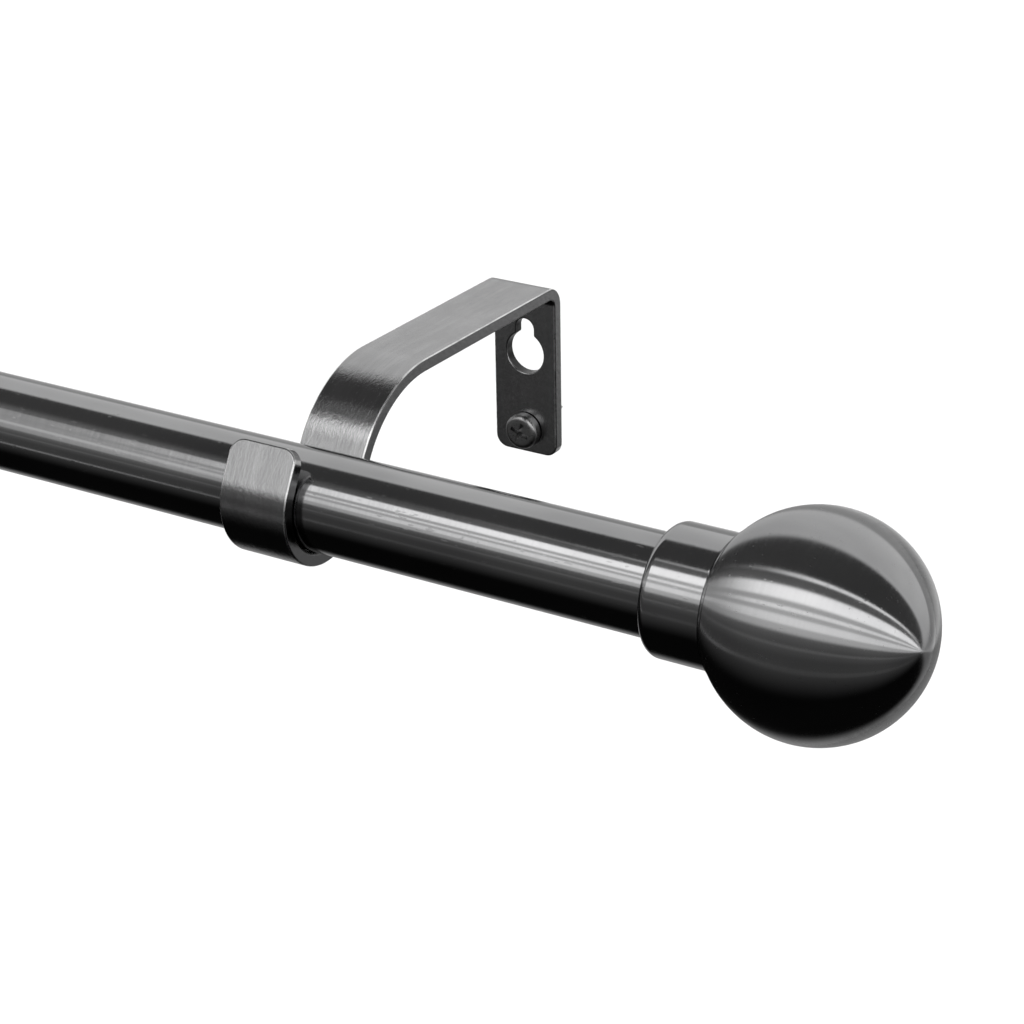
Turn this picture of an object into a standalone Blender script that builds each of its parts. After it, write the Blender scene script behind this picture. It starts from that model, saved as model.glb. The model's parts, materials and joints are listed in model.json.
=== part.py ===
"""Adjustable curtain rod on two hook brackets, with pull-off ball finials.

Frame: +X runs along the rod to the right-hand finial, +Y points into the wall, +Z is up.
The origin lies on the back of the right-hand bracket's wall plate, on the solid metal
between its keyhole and its screw hole. All sizes are metres.
"""
import math

import bmesh
import bpy
import mathutils

MM = 0.001

# Rod: two steel tubes, the thinner sliding inside the thicker
TUBE_R = 9.5 * MM
INNER_TUBE_R = 8.0 * MM
TUBE_WALL = 0.7 * MM
INNER_TUBE_LENGTH = 594.0 * MM
MOUTH_OVERHANG = 40.0 * MM      # outer tube's open end past the left bracket's middle
BUSH_LENGTH = 12.0 * MM
BUSH_FLANGE = 1.5 * MM
SLIDE_GAP = 0.2 * MM            # between a tube and the plastic that guides it

# Brackets: a flat strip bent into hook, arm and wall plate
BRACKET_SPAN = 450.0 * MM
STRIP_WIDTH = 15.0 * MM
STRIP_THICK = 2.5 * MM
PROJECTION = 84.4 * MM          # wall to rod axis
ROD_HEIGHT = 7.8 * MM           # rod axis above the origin
ARM_TOP = 16.7 * MM             # top of the arm above the rod axis
PLATE_BOTTOM = 21.5 * MM        # bottom of the wall plate below the rod axis
HOOK_GAP = 0.4 * MM             # hook to rod
SHOULDER_R = 24.8 * MM
NECK_SLACK = 0.8 * MM           # how far the shoulder and hook circles stand apart
LIP_LEAN = math.radians(28.0)
LIP_LENGTH = 8.0 * MM
WALL_BEND_R = 4.3 * MM
PLATE_CORNER_R = 2.75 * MM
LIP_CORNER_R = 3.2 * MM

# Fixings in the wall plate
LOBE_R = 4.5 * MM
LOBE_ABOVE_ROD = 0.9 * MM
SLOT_R = 2.15 * MM
SLOT_RISE = 5.4 * MM            # centre of the slot's round top above the lobe's centre
SCREW_BELOW_ROD = 16.3 * MM
WALL_SCREW_R = 2.0 * MM
SCREW_HOLE_GAP = 0.4 * MM
WALL_HEAD_R = 3.8 * MM
WALL_HEAD_HEIGHT = 2.4 * MM
WALL_SCREW_LENGTH = 12.0 * MM   # from the plate's back face to the tip
RECESS_TURN = math.radians(20.0)

# Finials: ball, collar, and what holds them to the tube
REST_GAP = 0.3 * MM             # between pieces that touch on the real object
FIT_GAP = 0.3 * MM              # between pieces that slide over one another
BALL_R = 20.4 * MM
BALL_WALL = 1.0 * MM
BALL_CENTRE = 109.4 * MM        # from the bracket's middle, along the rod
SEAT_RIM = 0.2 * MM             # the ball's flat seat shows this much round the collar
COLLAR_WALL = 2.4 * MM
COLLAR_LENGTH = 12.3 * MM
COLLAR_FLOOR = 1.6 * MM
COLLAR_EDGE_R = 1.8 * MM
PLUG_FLANGE = 1.5 * MM
PLUG_FLOOR = 3.5 * MM
PLUG_LENGTH = 18.9 * MM
PLUG_WALL = 2.2 * MM
PLUG_GROOVE = 0.5 * MM
PLUG_RIBS = 4
FINIAL_SCREW_R = 1.9 * MM
FINIAL_HEAD_HEIGHT = 2.2 * MM
WASHER_RIM = 0.8 * MM           # washer's edge past the screw's head
WASHER_THICK = 0.8 * MM
NUT_R = 4.6 * MM
NUT_THICK = 4.0 * MM
SCREW_PAST_NUT = 2.0 * MM

ROUND_STEPS = 40
SMALL_STEPS = 24
ARC_STEP = math.radians(9.0)
HIDDEN_ARC_STEP = math.radians(18.0)

# Places that follow from the sizes above
HOOK_R = TUBE_R + HOOK_GAP
COLLAR_BORE_R = TUBE_R + FIT_GAP
COLLAR_R = COLLAR_BORE_R + COLLAR_WALL
SCREW_BORE_R = FINIAL_SCREW_R + FIT_GAP
SEAT_R = COLLAR_R + SEAT_RIM
WASHER_R = INNER_TUBE_R - TUBE_WALL - FIT_GAP - PLUG_WALL - 2 * FIT_GAP
FINIAL_HEAD_R = WASHER_R - WASHER_RIM
SEAT_X = BALL_CENTRE - math.sqrt(BALL_R ** 2 - SEAT_R ** 2)
COLLAR_END_X = SEAT_X - REST_GAP
COLLAR_FLOOR_X = COLLAR_END_X - COLLAR_FLOOR
PLUG_END_X = COLLAR_FLOOR_X - REST_GAP
TUBE_END_X = PLUG_END_X - PLUG_FLANGE - REST_GAP
OUTER_MOUTH_X = -BRACKET_SPAN - MOUTH_OVERHANG
INNER_END_X = -BRACKET_SPAN - TUBE_END_X
ROD_Y = -PROJECTION
UPRIGHT = (math.pi / 2, 0.0, 0.0)   # turns a flat outline's Y up along Z


def clear_scene():
    for old in list(bpy.data.objects):
        bpy.data.objects.remove(old, do_unlink=True)


def new_collection(name):
    group = bpy.data.collections.new(name)
    bpy.context.scene.collection.children.link(group)
    return group


def make_material(name, colour, roughness, metallic):
    material = bpy.data.materials.new(name)
    material.use_nodes = True
    shader = material.node_tree.nodes["Principled BSDF"]
    shader.inputs["Base Color"].default_value = (*colour, 1.0)
    shader.inputs["Roughness"].default_value = roughness
    shader.inputs["Metallic"].default_value = metallic
    return material


def new_empty(name, location, parent=None):
    empty = bpy.data.objects.new(name, None)
    empty.empty_display_size = 0.02
    empty.location = location
    PARTS.objects.link(empty)
    if parent:
        keep_place(empty, parent)
    return empty


def keep_place(child, parent):
    """Parent the child without moving it; no parent here is turned or scaled."""
    child.location = [c - p for c, p in zip(child.location, place_of(parent))]
    child.parent = parent


def place_of(item):
    place = list(item.location)
    while item.parent:
        item = item.parent
        place = [a + b for a, b in zip(place, item.location)]
    return place


def finish_part(obj, material, parent):
    obj.data.materials.clear()
    obj.data.materials.append(MATERIALS[material].copy())
    obj.data.materials[0].name = obj.name + "_" + material
    keep_place(obj, parent)
    return obj


def arc(centre, radius, start, end, step=ARC_STEP):
    """Points of an arc in a plane, about one for every step of turn."""
    count = max(2, math.ceil(abs(end - start) / step))
    points = []
    for i in range(count + 1):
        angle = start + (end - start) * i / count
        points.append((centre[0] + radius * math.cos(angle), centre[1] + radius * math.sin(angle)))
    return points


def turned(name, profile, location, flip=False, steps=ROUND_STEPS):
    """A turned piece: profile of (radius, height), screwed round an axis laid along X.

    A profile that starts on the axis ends on it too; any other is a closed loop.
    """
    mesh = bpy.data.meshes.new(name)
    points = [(radius, 0.0, height) for radius, height in profile]
    edges = [(i, i + 1) for i in range(len(points) - 1)]
    if profile[0][0] > 0.0:
        edges.append((len(points) - 1, 0))
    mesh.from_pydata(points, edges, [])
    obj = bpy.data.objects.new(name, mesh)
    PARTS.objects.link(obj)
    screw = obj.modifiers.new("Turn", "SCREW")
    screw.axis = "Z"
    screw.steps = steps
    screw.render_steps = steps
    screw.use_merge_vertices = True
    screw.merge_threshold = 0.00001
    apply_modifiers(obj)
    obj.data.shade_smooth()
    obj.data.set_sharp_from_angle(angle=math.radians(35.0))
    obj.location = location
    obj.rotation_euler = (0.0, math.radians(-90.0 if flip else 90.0), 0.0)
    return obj


def apply_modifiers(obj):
    """Replace the mesh by its evaluated form, so that it can be cut."""
    bpy.context.view_layer.update()
    graph = bpy.context.evaluated_depsgraph_get()
    obj.data = bpy.data.meshes.new_from_object(obj.evaluated_get(graph))
    obj.modifiers.clear()


def plate_from_outline(name, outline, thickness, group):
    """A flat outline, filled and given its thickness, lying in the object's own XY plane."""
    curve = bpy.data.curves.new(name, "CURVE")
    curve.dimensions = "2D"
    curve.fill_mode = "BOTH"
    curve.extrude = thickness / 2
    curve.resolution_u = 1
    curve.render_resolution_u = 0
    spline = curve.splines.new("POLY")
    spline.points.add(len(outline) - 1)
    for point, (u, v) in zip(spline.points, outline):
        point.co = (u, v, 0.0, 1.0)
    spline.use_cyclic_u = True
    source = bpy.data.objects.new(name, curve)
    group.objects.link(source)
    bpy.context.view_layer.update()
    graph = bpy.context.evaluated_depsgraph_get()
    mesh = bpy.data.meshes.new_from_object(source.evaluated_get(graph))
    bpy.data.objects.remove(source, do_unlink=True)
    bpy.data.curves.remove(curve)
    weld(mesh)
    obj = bpy.data.objects.new(name, mesh)
    group.objects.link(obj)
    return obj


def weld(mesh):
    shape = bmesh.new()
    shape.from_mesh(mesh)
    bmesh.ops.remove_doubles(shape, verts=shape.verts, dist=0.000001)
    bmesh.ops.recalc_face_normals(shape, faces=shape.faces)
    shape.to_mesh(mesh)
    shape.free()


def cut(obj, cutter):
    hole = obj.modifiers.new("Cut " + cutter.name, "BOOLEAN")
    hole.operation = "DIFFERENCE"
    hole.solver = "EXACT"
    hole.object = cutter


def cutter_from_outline(name, outline, depth, location, turn):
    cutter = plate_from_outline(name, outline, depth, CUTTERS)
    cutter.location = location
    cutter.rotation_euler = turn
    cutter.hide_render = True
    cutter.display_type = "WIRE"
    return cutter


def side_line(offset):
    """Side view of the strip, (y, z) from the rod axis, at a depth below its outer face.

    It runs from the tip of the lip, under the rod, up the neck, over the shoulder, along
    the arm and down the wall plate. Offset 0 is the face that touches rod and wall.
    """
    shoulder_z = ARM_TOP - SHOULDER_R
    reach = HOOK_R + SHOULDER_R
    shoulder_y = math.sqrt((reach + NECK_SLACK) ** 2 - shoulder_z ** 2)
    neck = math.atan2(shoulder_z, shoulder_y) - math.acos(reach / (reach + NECK_SLACK))
    hook = arc((0.0, 0.0), HOOK_R + offset, math.pi - LIP_LEAN, 2 * math.pi + neck)
    tip = (hook[0][0] + LIP_LENGTH * math.sin(LIP_LEAN), hook[0][1] + LIP_LENGTH * math.cos(LIP_LEAN))
    shoulder = arc((shoulder_y, shoulder_z), SHOULDER_R - offset, math.pi + neck, math.pi / 2)
    bend_centre = (PROJECTION - WALL_BEND_R, ARM_TOP - WALL_BEND_R)
    bend = arc(bend_centre, WALL_BEND_R - offset, math.pi / 2, 0.0)
    foot = (PROJECTION - offset, -PLATE_BOTTOM)
    return [tip] + hook + shoulder + bend + [foot]


def corner_cutter(name, radius, corner, turn):
    """What is left of a square corner once its rounding is taken out, as a cutting prism."""
    edge = 2.0 * MM
    rounding = arc((-radius, -radius), radius, 0.0, math.pi / 2)
    outline = [(-radius, edge), (edge, edge), (edge, -radius)] + rounding
    return cutter_from_outline(name, outline, 4 * STRIP_THICK, corner, turn)


def keyhole_cutter(middle_x):
    """Round lobe for the screw's head with a narrow slot above it."""
    half_gap = math.asin(SLOT_R / LOBE_R)
    lobe = arc((0.0, 0.0), LOBE_R, math.pi / 2 + half_gap, 5 * math.pi / 2 - half_gap)
    slot = arc((0.0, SLOT_RISE), SLOT_R, 0.0, math.pi)
    place = (middle_x, -STRIP_THICK / 2, ROD_HEIGHT + LOBE_ABOVE_ROD)
    return cutter_from_outline("keyhole_cut", lobe + slot, 4 * STRIP_THICK, place, UPRIGHT)


def screw_hole_cutter(middle_x):
    radius = WALL_SCREW_R + SCREW_HOLE_GAP
    hole = arc((0.0, 0.0), radius, 0.0, 2 * math.pi)[:-1]
    place = (middle_x, -STRIP_THICK / 2, ROD_HEIGHT - SCREW_BELOW_ROD)
    return cutter_from_outline("screw_hole_cut", hole, 4 * STRIP_THICK, place, UPRIGHT)


def lip_tip():
    """Tip of the lip in the object's frame, halfway through the strip."""
    inner = side_line(0.0)[0]
    outer = side_line(STRIP_THICK)[0]
    return (ROD_Y + (inner[0] + outer[0]) / 2, ROD_HEIGHT + (inner[1] + outer[1]) / 2)


def bracket(name, middle_x, parent):
    outline = side_line(0.0) + side_line(STRIP_THICK)[::-1]
    strip = plate_from_outline(name, outline, STRIP_WIDTH, PARTS)
    strip.location = (middle_x, ROD_Y, ROD_HEIGHT)
    strip.rotation_euler = (math.pi / 2, 0.0, math.pi / 2)
    tip_y, tip_z = lip_tip()
    foot_z = ROD_HEIGHT - PLATE_BOTTOM
    for side in (-1, 1):
        edge_x = middle_x + side * STRIP_WIDTH / 2
        half_turn = 0.0 if side > 0 else math.pi
        lip_turn = (side * (math.pi / 2 - LIP_LEAN), half_turn, 0.0)
        lip_corner = (edge_x, tip_y, tip_z)
        cut(strip, corner_cutter("lip_corner_cut", LIP_CORNER_R, lip_corner, lip_turn))
        foot_turn = (-side * math.pi / 2, half_turn, 0.0)
        foot_corner = (edge_x, -STRIP_THICK / 2, foot_z)
        cut(strip, corner_cutter("plate_corner_cut", PLATE_CORNER_R, foot_corner, foot_turn))
    cut(strip, keyhole_cutter(middle_x))
    cut(strip, screw_hole_cutter(middle_x))
    strip.data.shade_smooth()
    strip.data.set_sharp_from_angle(angle=math.radians(35.0))
    return finish_part(strip, "dark_nickel", parent)


def cross_recess(name, location, turn, width, depth):
    """Cross-shaped recess for a driver, as a cutter."""
    arm = width / 5
    half = width / 2
    outline = [(arm / 2, arm / 2), (half, arm / 2), (half, -arm / 2), (arm / 2, -arm / 2)]
    outline += [(arm / 2, -half), (-arm / 2, -half), (-arm / 2, -arm / 2), (-half, -arm / 2)]
    outline += [(-half, arm / 2), (-arm / 2, arm / 2), (-arm / 2, half), (arm / 2, half)]
    swing = mathutils.Matrix.Rotation(RECESS_TURN, 2)
    outline = [tuple(swing @ mathutils.Vector(point)) for point in outline]
    return cutter_from_outline(name, outline, 2 * depth, location, turn)


def pan_head_screw(name, location, turn, sizes, material, parent):
    """Screw along local +Z, seated at the origin, with a rounded head on its -Z side."""
    head_r, head_height, shank_r, length, point = sizes
    round_r = 0.6 * head_height
    crown = arc((head_r - round_r, -head_height + round_r), round_r, 0.0, -math.pi / 2)
    profile = [(0.0, length), (shank_r, length - point), (shank_r, 0.0), (head_r, 0.0)]
    profile += crown + [(0.0, -head_height)]
    screw = turned(name, profile, location, steps=SMALL_STEPS)
    screw.rotation_euler = turn
    face = screw.rotation_euler.to_matrix() @ mathutils.Vector((0.0, 0.0, -head_height))
    recess_place = [a + b for a, b in zip(location, face)]
    cut(screw, cross_recess(name + "_recess_cut", recess_place, turn, head_r, head_height / 2))
    return finish_part(screw, material, parent)


def wall_screw(name, middle_x, parent):
    location = (middle_x, -STRIP_THICK - REST_GAP, ROD_HEIGHT - SCREW_BELOW_ROD)
    length = WALL_SCREW_LENGTH + STRIP_THICK + REST_GAP
    sizes = (WALL_HEAD_R, WALL_HEAD_HEIGHT, WALL_SCREW_R, length, 3 * WALL_SCREW_R)
    return pan_head_screw(name, location, (-math.pi / 2, 0.0, 0.0), sizes, "dark_nickel", parent)


def tube(name, radius, start_x, end_x, parent):
    bore = radius - TUBE_WALL
    length = end_x - start_x
    profile = [(radius, length), (radius, 0.0), (bore, 0.0), (bore, length)]
    pipe = turned(name, profile, (start_x, ROD_Y, ROD_HEIGHT))
    return finish_part(pipe, "dark_nickel", parent)


def mouth_bush(parent):
    """Plastic ring in the outer tube's open end; its flange covers the tube's cut edge."""
    outer = TUBE_R - TUBE_WALL - SLIDE_GAP
    inner = INNER_TUBE_R + SLIDE_GAP
    flange = REST_GAP + BUSH_FLANGE
    profile = [(outer, BUSH_LENGTH + flange), (outer, BUSH_FLANGE), (TUBE_R, BUSH_FLANGE), (TUBE_R, 0.0)]
    profile += [(inner, 0.0), (inner, BUSH_LENGTH + flange)]
    bush = turned("mouth_bush", profile, (OUTER_MOUTH_X - flange, ROD_Y, ROD_HEIGHT))
    return finish_part(bush, "black_plastic", parent)


def inner_slider(parent):
    """Plastic cap in the inner tube's hidden end; its collar runs in the outer tube."""
    collar = TUBE_R - TUBE_WALL - SLIDE_GAP
    stem = INNER_TUBE_R - TUBE_WALL - FIT_GAP
    flange = 2 * BUSH_FLANGE
    start = INNER_END_X + INNER_TUBE_LENGTH + REST_GAP - BUSH_LENGTH
    bore = stem - PLUG_WALL / 2
    profile = [(collar, BUSH_LENGTH + flange), (collar, BUSH_LENGTH), (stem, BUSH_LENGTH), (stem, 0.0)]
    profile += [(bore, 0.0), (bore, BUSH_LENGTH + flange)]
    cap = turned("inner_tube_slider", profile, (start, ROD_Y, ROD_HEIGHT))
    return finish_part(cap, "black_plastic", parent)


def finial_x(side, distance):
    """World X of a distance from the bracket's middle, towards that side's finial."""
    return distance if side > 0 else -BRACKET_SPAN - distance


def finial_place(side, distance):
    return (finial_x(side, distance), ROD_Y, ROD_HEIGHT)


def ball(name, side, parent):
    """Hollow ball with a flat seat, and a hole through the seat for its screw."""
    to_seat = math.asin(SEAT_R / BALL_R)
    outer = arc((0.0, 0.0), BALL_R, math.pi / 2, -math.pi / 2 + to_seat)
    inner_r = BALL_R - BALL_WALL
    seat = BALL_R * math.cos(to_seat)
    floor = seat - BALL_WALL
    inner = arc((0.0, 0.0), inner_r, -math.asin(floor / inner_r), math.pi / 2, HIDDEN_ARC_STEP)
    profile = outer + [(SCREW_BORE_R, -seat), (SCREW_BORE_R, -floor)] + inner
    profile[0] = (0.0, BALL_R)
    profile[-1] = (0.0, inner_r)
    shell = turned(name, profile, finial_place(side, BALL_CENTRE), side < 0)
    return finish_part(shell, "dark_nickel", parent)


def ball_nut(name, side, parent):
    """Hexagon nut fixed inside the ball, behind its seat."""
    outline = [(math.cos(i * math.pi / 3) * NUT_R, math.sin(i * math.pi / 3) * NUT_R) for i in range(6)]
    nut = plate_from_outline(name, outline, NUT_THICK, PARTS)
    start = SEAT_X + BALL_WALL + REST_GAP
    nut.location = finial_place(side, start + NUT_THICK / 2)
    nut.rotation_euler = (0.0, math.pi / 2, 0.0)
    hole = arc((0.0, 0.0), SCREW_BORE_R, 0.0, 2 * math.pi)[:-1]
    place = tuple(nut.location)
    cut(nut, cutter_from_outline(name + "_bore_cut", hole, 2 * NUT_THICK, place, nut.rotation_euler))
    return finish_part(nut, "zinc_steel", parent)


def collar(name, side, parent):
    """Turned cup that hides the tube's end, with a floor that the ball seats on."""
    edge = arc((COLLAR_R - COLLAR_EDGE_R, COLLAR_EDGE_R), COLLAR_EDGE_R, 0.0, -math.pi / 2)
    floor = COLLAR_LENGTH - COLLAR_FLOOR
    profile = [(COLLAR_R, COLLAR_LENGTH)] + edge
    profile += [(COLLAR_BORE_R, 0.0), (COLLAR_BORE_R, floor)]
    profile += [(SCREW_BORE_R, floor), (SCREW_BORE_R, COLLAR_LENGTH)]
    cup = turned(name, profile, finial_place(side, COLLAR_END_X - COLLAR_LENGTH), side < 0)
    return finish_part(cup, "dark_nickel", parent)


def plug(name, side, tube_r, parent):
    """Ribbed plastic plug that grips the tube's bore, flanged over the tube's cut end."""
    outer = tube_r - TUBE_WALL - FIT_GAP
    root = outer - PLUG_GROOVE
    bore = outer - PLUG_WALL
    body = PLUG_LENGTH - PLUG_FLANGE
    pitch = body / (2 * PLUG_RIBS)
    profile = [(tube_r, PLUG_LENGTH), (tube_r, body)]
    for i in range(PLUG_RIBS):
        top = body - 2 * i * pitch
        profile += [(root, top), (root, top - pitch), (outer, top - pitch), (outer, top - 2 * pitch)]
    floor = PLUG_LENGTH - PLUG_FLOOR
    profile += [(bore, 0.0), (bore, floor), (SCREW_BORE_R, floor), (SCREW_BORE_R, PLUG_LENGTH)]
    piece = turned(name, profile, finial_place(side, PLUG_END_X - PLUG_LENGTH), side < 0)
    return finish_part(piece, "black_plastic", parent)


def washer(name, side, parent):
    end = PLUG_END_X - PLUG_FLOOR - REST_GAP
    profile = [(WASHER_R, WASHER_THICK), (WASHER_R, 0.0), (SCREW_BORE_R, 0.0), (SCREW_BORE_R, WASHER_THICK)]
    ring = turned(name, profile, finial_place(side, end - WASHER_THICK), side < 0, steps=SMALL_STEPS)
    return finish_part(ring, "zinc_steel", parent)


def finial_screw(name, side, parent):
    """Screw from inside the plug, through plug, collar and ball seat, into the nut."""
    seat = PLUG_END_X - PLUG_FLOOR - REST_GAP - WASHER_THICK - REST_GAP
    length = SEAT_X + BALL_WALL + REST_GAP + NUT_THICK + SCREW_PAST_NUT - seat
    sizes = (FINIAL_HEAD_R, FINIAL_HEAD_HEIGHT, FINIAL_SCREW_R, length, FINIAL_SCREW_R / 2)
    turn = (0.0, side * math.pi / 2, 0.0)
    return pan_head_screw(name, finial_place(side, seat), turn, sizes, "zinc_steel", parent)


def reducer_sleeve(parent):
    """Plastic sleeve that fills the collar round the thinner tube."""
    outer = COLLAR_BORE_R - FIT_GAP
    inner = INNER_TUBE_R + FIT_GAP
    start = COLLAR_END_X - COLLAR_LENGTH
    end = TUBE_END_X
    profile = [(outer, end - start), (outer, 0.0), (inner, 0.0), (inner, end - start)]
    sleeve = turned("reducer_sleeve", profile, finial_place(-1, start), True)
    return finish_part(sleeve, "black_plastic", parent)


def finial(word, side, tube_r, parent):
    ball(word + "_ball", side, parent)
    ball_nut(word + "_ball_nut", side, parent)
    collar(word + "_collar", side, parent)
    plug(word + "_plug", side, tube_r, parent)
    washer(word + "_washer", side, parent)
    finial_screw(word + "_finial_screw", side, parent)


clear_scene()
PARTS = new_collection("curtain_rod_with_brackets")
CUTTERS = new_collection("cutters")
MATERIALS = {
    "dark_nickel": make_material("dark_nickel", (0.30, 0.30, 0.31), 0.32, 1.0),
    "black_plastic": make_material("black_plastic", (0.02, 0.02, 0.022), 0.5, 0.0),
    "zinc_steel": make_material("zinc_steel", (0.62, 0.63, 0.65), 0.35, 1.0),
}

wall = new_empty("wall_side", (0.0, 0.0, 0.0))
bracket("bracket_right", 0.0, wall)
bracket("bracket_left", -BRACKET_SPAN, wall)
wall_screw("wall_screw_right", 0.0, wall)
wall_screw("wall_screw_left", -BRACKET_SPAN, wall)

rod = new_empty("rod", (0.0, ROD_Y, ROD_HEIGHT), wall)
tube("outer_tube", TUBE_R, OUTER_MOUTH_X, TUBE_END_X, rod)
mouth_bush(rod)

extension = new_empty("rod_extension", (-BRACKET_SPAN, ROD_Y, ROD_HEIGHT), rod)
tube("inner_tube", INNER_TUBE_R, INNER_END_X, INNER_END_X + INNER_TUBE_LENGTH, extension)
inner_slider(extension)

right_finial = new_empty("finial_right", finial_place(1, TUBE_END_X), rod)
finial("right", 1, TUBE_R, right_finial)

left_finial = new_empty("finial_left", finial_place(-1, TUBE_END_X), extension)
finial("left", -1, INNER_TUBE_R, left_finial)
reducer_sleeve(left_finial)
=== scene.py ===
# %% [markdown]
# # A curtain rod on its brackets
#
# An adjustable rod: a thick steel tube with a thinner one sliding inside it, a ball finial
# plugged into each end, and two hooks bent from flat strip that screw to the wall. All of it
# is plated in dark nickel and brushed, so the whole look rests on two things: clean turned
# and bent shapes, and what a curved metal surface mirrors. This first cell loads the packed
# model, which fixes every size and place, and keeps its box.

# %% Load the imported model
import json
import math

import bpy
from mathutils import Matrix, Vector

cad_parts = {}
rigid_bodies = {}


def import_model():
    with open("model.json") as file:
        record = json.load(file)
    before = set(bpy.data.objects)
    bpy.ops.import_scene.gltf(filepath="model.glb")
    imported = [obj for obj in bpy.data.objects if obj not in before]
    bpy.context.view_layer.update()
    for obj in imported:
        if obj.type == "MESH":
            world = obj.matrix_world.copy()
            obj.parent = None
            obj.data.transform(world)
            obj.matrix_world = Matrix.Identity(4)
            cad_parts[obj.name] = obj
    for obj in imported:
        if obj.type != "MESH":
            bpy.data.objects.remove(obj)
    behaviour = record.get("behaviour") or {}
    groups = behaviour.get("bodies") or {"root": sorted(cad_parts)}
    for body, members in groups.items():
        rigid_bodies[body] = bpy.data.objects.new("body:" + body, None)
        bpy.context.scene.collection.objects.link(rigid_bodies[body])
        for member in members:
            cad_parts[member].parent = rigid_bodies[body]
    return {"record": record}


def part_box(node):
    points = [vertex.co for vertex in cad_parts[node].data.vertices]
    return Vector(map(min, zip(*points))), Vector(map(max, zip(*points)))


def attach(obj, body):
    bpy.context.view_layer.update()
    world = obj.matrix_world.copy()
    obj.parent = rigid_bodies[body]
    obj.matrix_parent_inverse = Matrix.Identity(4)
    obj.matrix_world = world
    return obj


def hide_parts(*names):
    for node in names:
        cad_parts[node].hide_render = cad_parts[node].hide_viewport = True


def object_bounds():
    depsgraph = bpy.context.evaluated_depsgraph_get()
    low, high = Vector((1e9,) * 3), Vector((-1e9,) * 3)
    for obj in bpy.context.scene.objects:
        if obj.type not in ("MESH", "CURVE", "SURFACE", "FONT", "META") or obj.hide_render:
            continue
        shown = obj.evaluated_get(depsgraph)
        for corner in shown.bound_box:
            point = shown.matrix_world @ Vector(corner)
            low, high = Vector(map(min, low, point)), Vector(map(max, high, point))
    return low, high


MM = 0.001
for startup_object in list(bpy.data.objects):
    bpy.data.objects.remove(startup_object, do_unlink=True)
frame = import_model()
cad_low, cad_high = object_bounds()
print("model size in mm", [round((b - a) / MM, 1) for a, b in zip(cad_low, cad_high)])

# %% [markdown]
# The main sizes are read off the model's nodes, so that a new piece always lands where the
# old one was. A tube's box gives its radius and both ends. The rod's axis is a line along X,
# and most pieces here are turned round it.

# %% Read the main sizes
tube_low, tube_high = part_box("outer_tube")
inner_low, inner_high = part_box("inner_tube")
ROD_R = (tube_high.z - tube_low.z) / 2
INNER_R = (inner_high.z - inner_low.z) / 2
AXIS_Y = (tube_low.y + tube_high.y) / 2
AXIS_Z = (tube_low.z + tube_high.z) / 2
TUBE_WALL = 0.7 * MM
print("rod radius mm", round(ROD_R / MM, 2), "inner", round(INNER_R / MM, 2))
print("rod axis at y, z mm", round(AXIS_Y / MM, 2), round(AXIS_Z / MM, 2))

# %% [markdown]
# ## Camera
#
# The view is from the right and above, with a long lens, so the rod hardly tapers towards
# its far end. A camera looks along its own -Z, so its matrix is built from three directions:
# right, up and back. Turning it a degree about its line of sight levels the picture.

# %% Place the camera
CAMERA_PLACE = Vector((291.0, -460.6, 215.9)) * MM
CAMERA_YAW = 0.572
CAMERA_PITCH = 0.422
CAMERA_ROLL = -0.019
LENS = 97.4

forward = Vector((
    -math.sin(CAMERA_YAW) * math.cos(CAMERA_PITCH),
    math.cos(CAMERA_YAW) * math.cos(CAMERA_PITCH),
    -math.sin(CAMERA_PITCH),
))
level_right = Vector((math.cos(CAMERA_YAW), math.sin(CAMERA_YAW), 0.0))
level_up = level_right.cross(forward)
right = math.cos(CAMERA_ROLL) * level_right + math.sin(CAMERA_ROLL) * level_up
up = right.cross(forward)
camera_data = bpy.data.cameras.new("camera")
camera_data.lens = LENS
camera_data.sensor_width = 36.0
camera_data.clip_start = 0.01
camera_data.clip_end = 100.0
camera = bpy.data.objects.new("camera", camera_data)
bpy.context.scene.collection.objects.link(camera)
turn_matrix = Matrix((right, up, -forward)).transposed().to_4x4()
camera.matrix_world = Matrix.Translation(CAMERA_PLACE) @ turn_matrix
bpy.context.scene.camera = camera
print("camera", [round(v, 3) for v in camera.location])

# %% [markdown]
# ## Light
#
# Polished round metal shows no colour of its own so much as a picture of the room, squeezed
# into stripes. A studio photographer lights it with long strips parallel to the rod: a white
# sweep behind and overhead, a dark gap, a large softbox in front, and black below it. Only
# the angle round the rod matters, so the world shader works that angle out from each
# direction and adds up a few soft-edged bands. Angle 0 is straight up, 90 is level towards
# the front, -90 is level towards the wall. The camera itself sees a plain pale backdrop.

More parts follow.
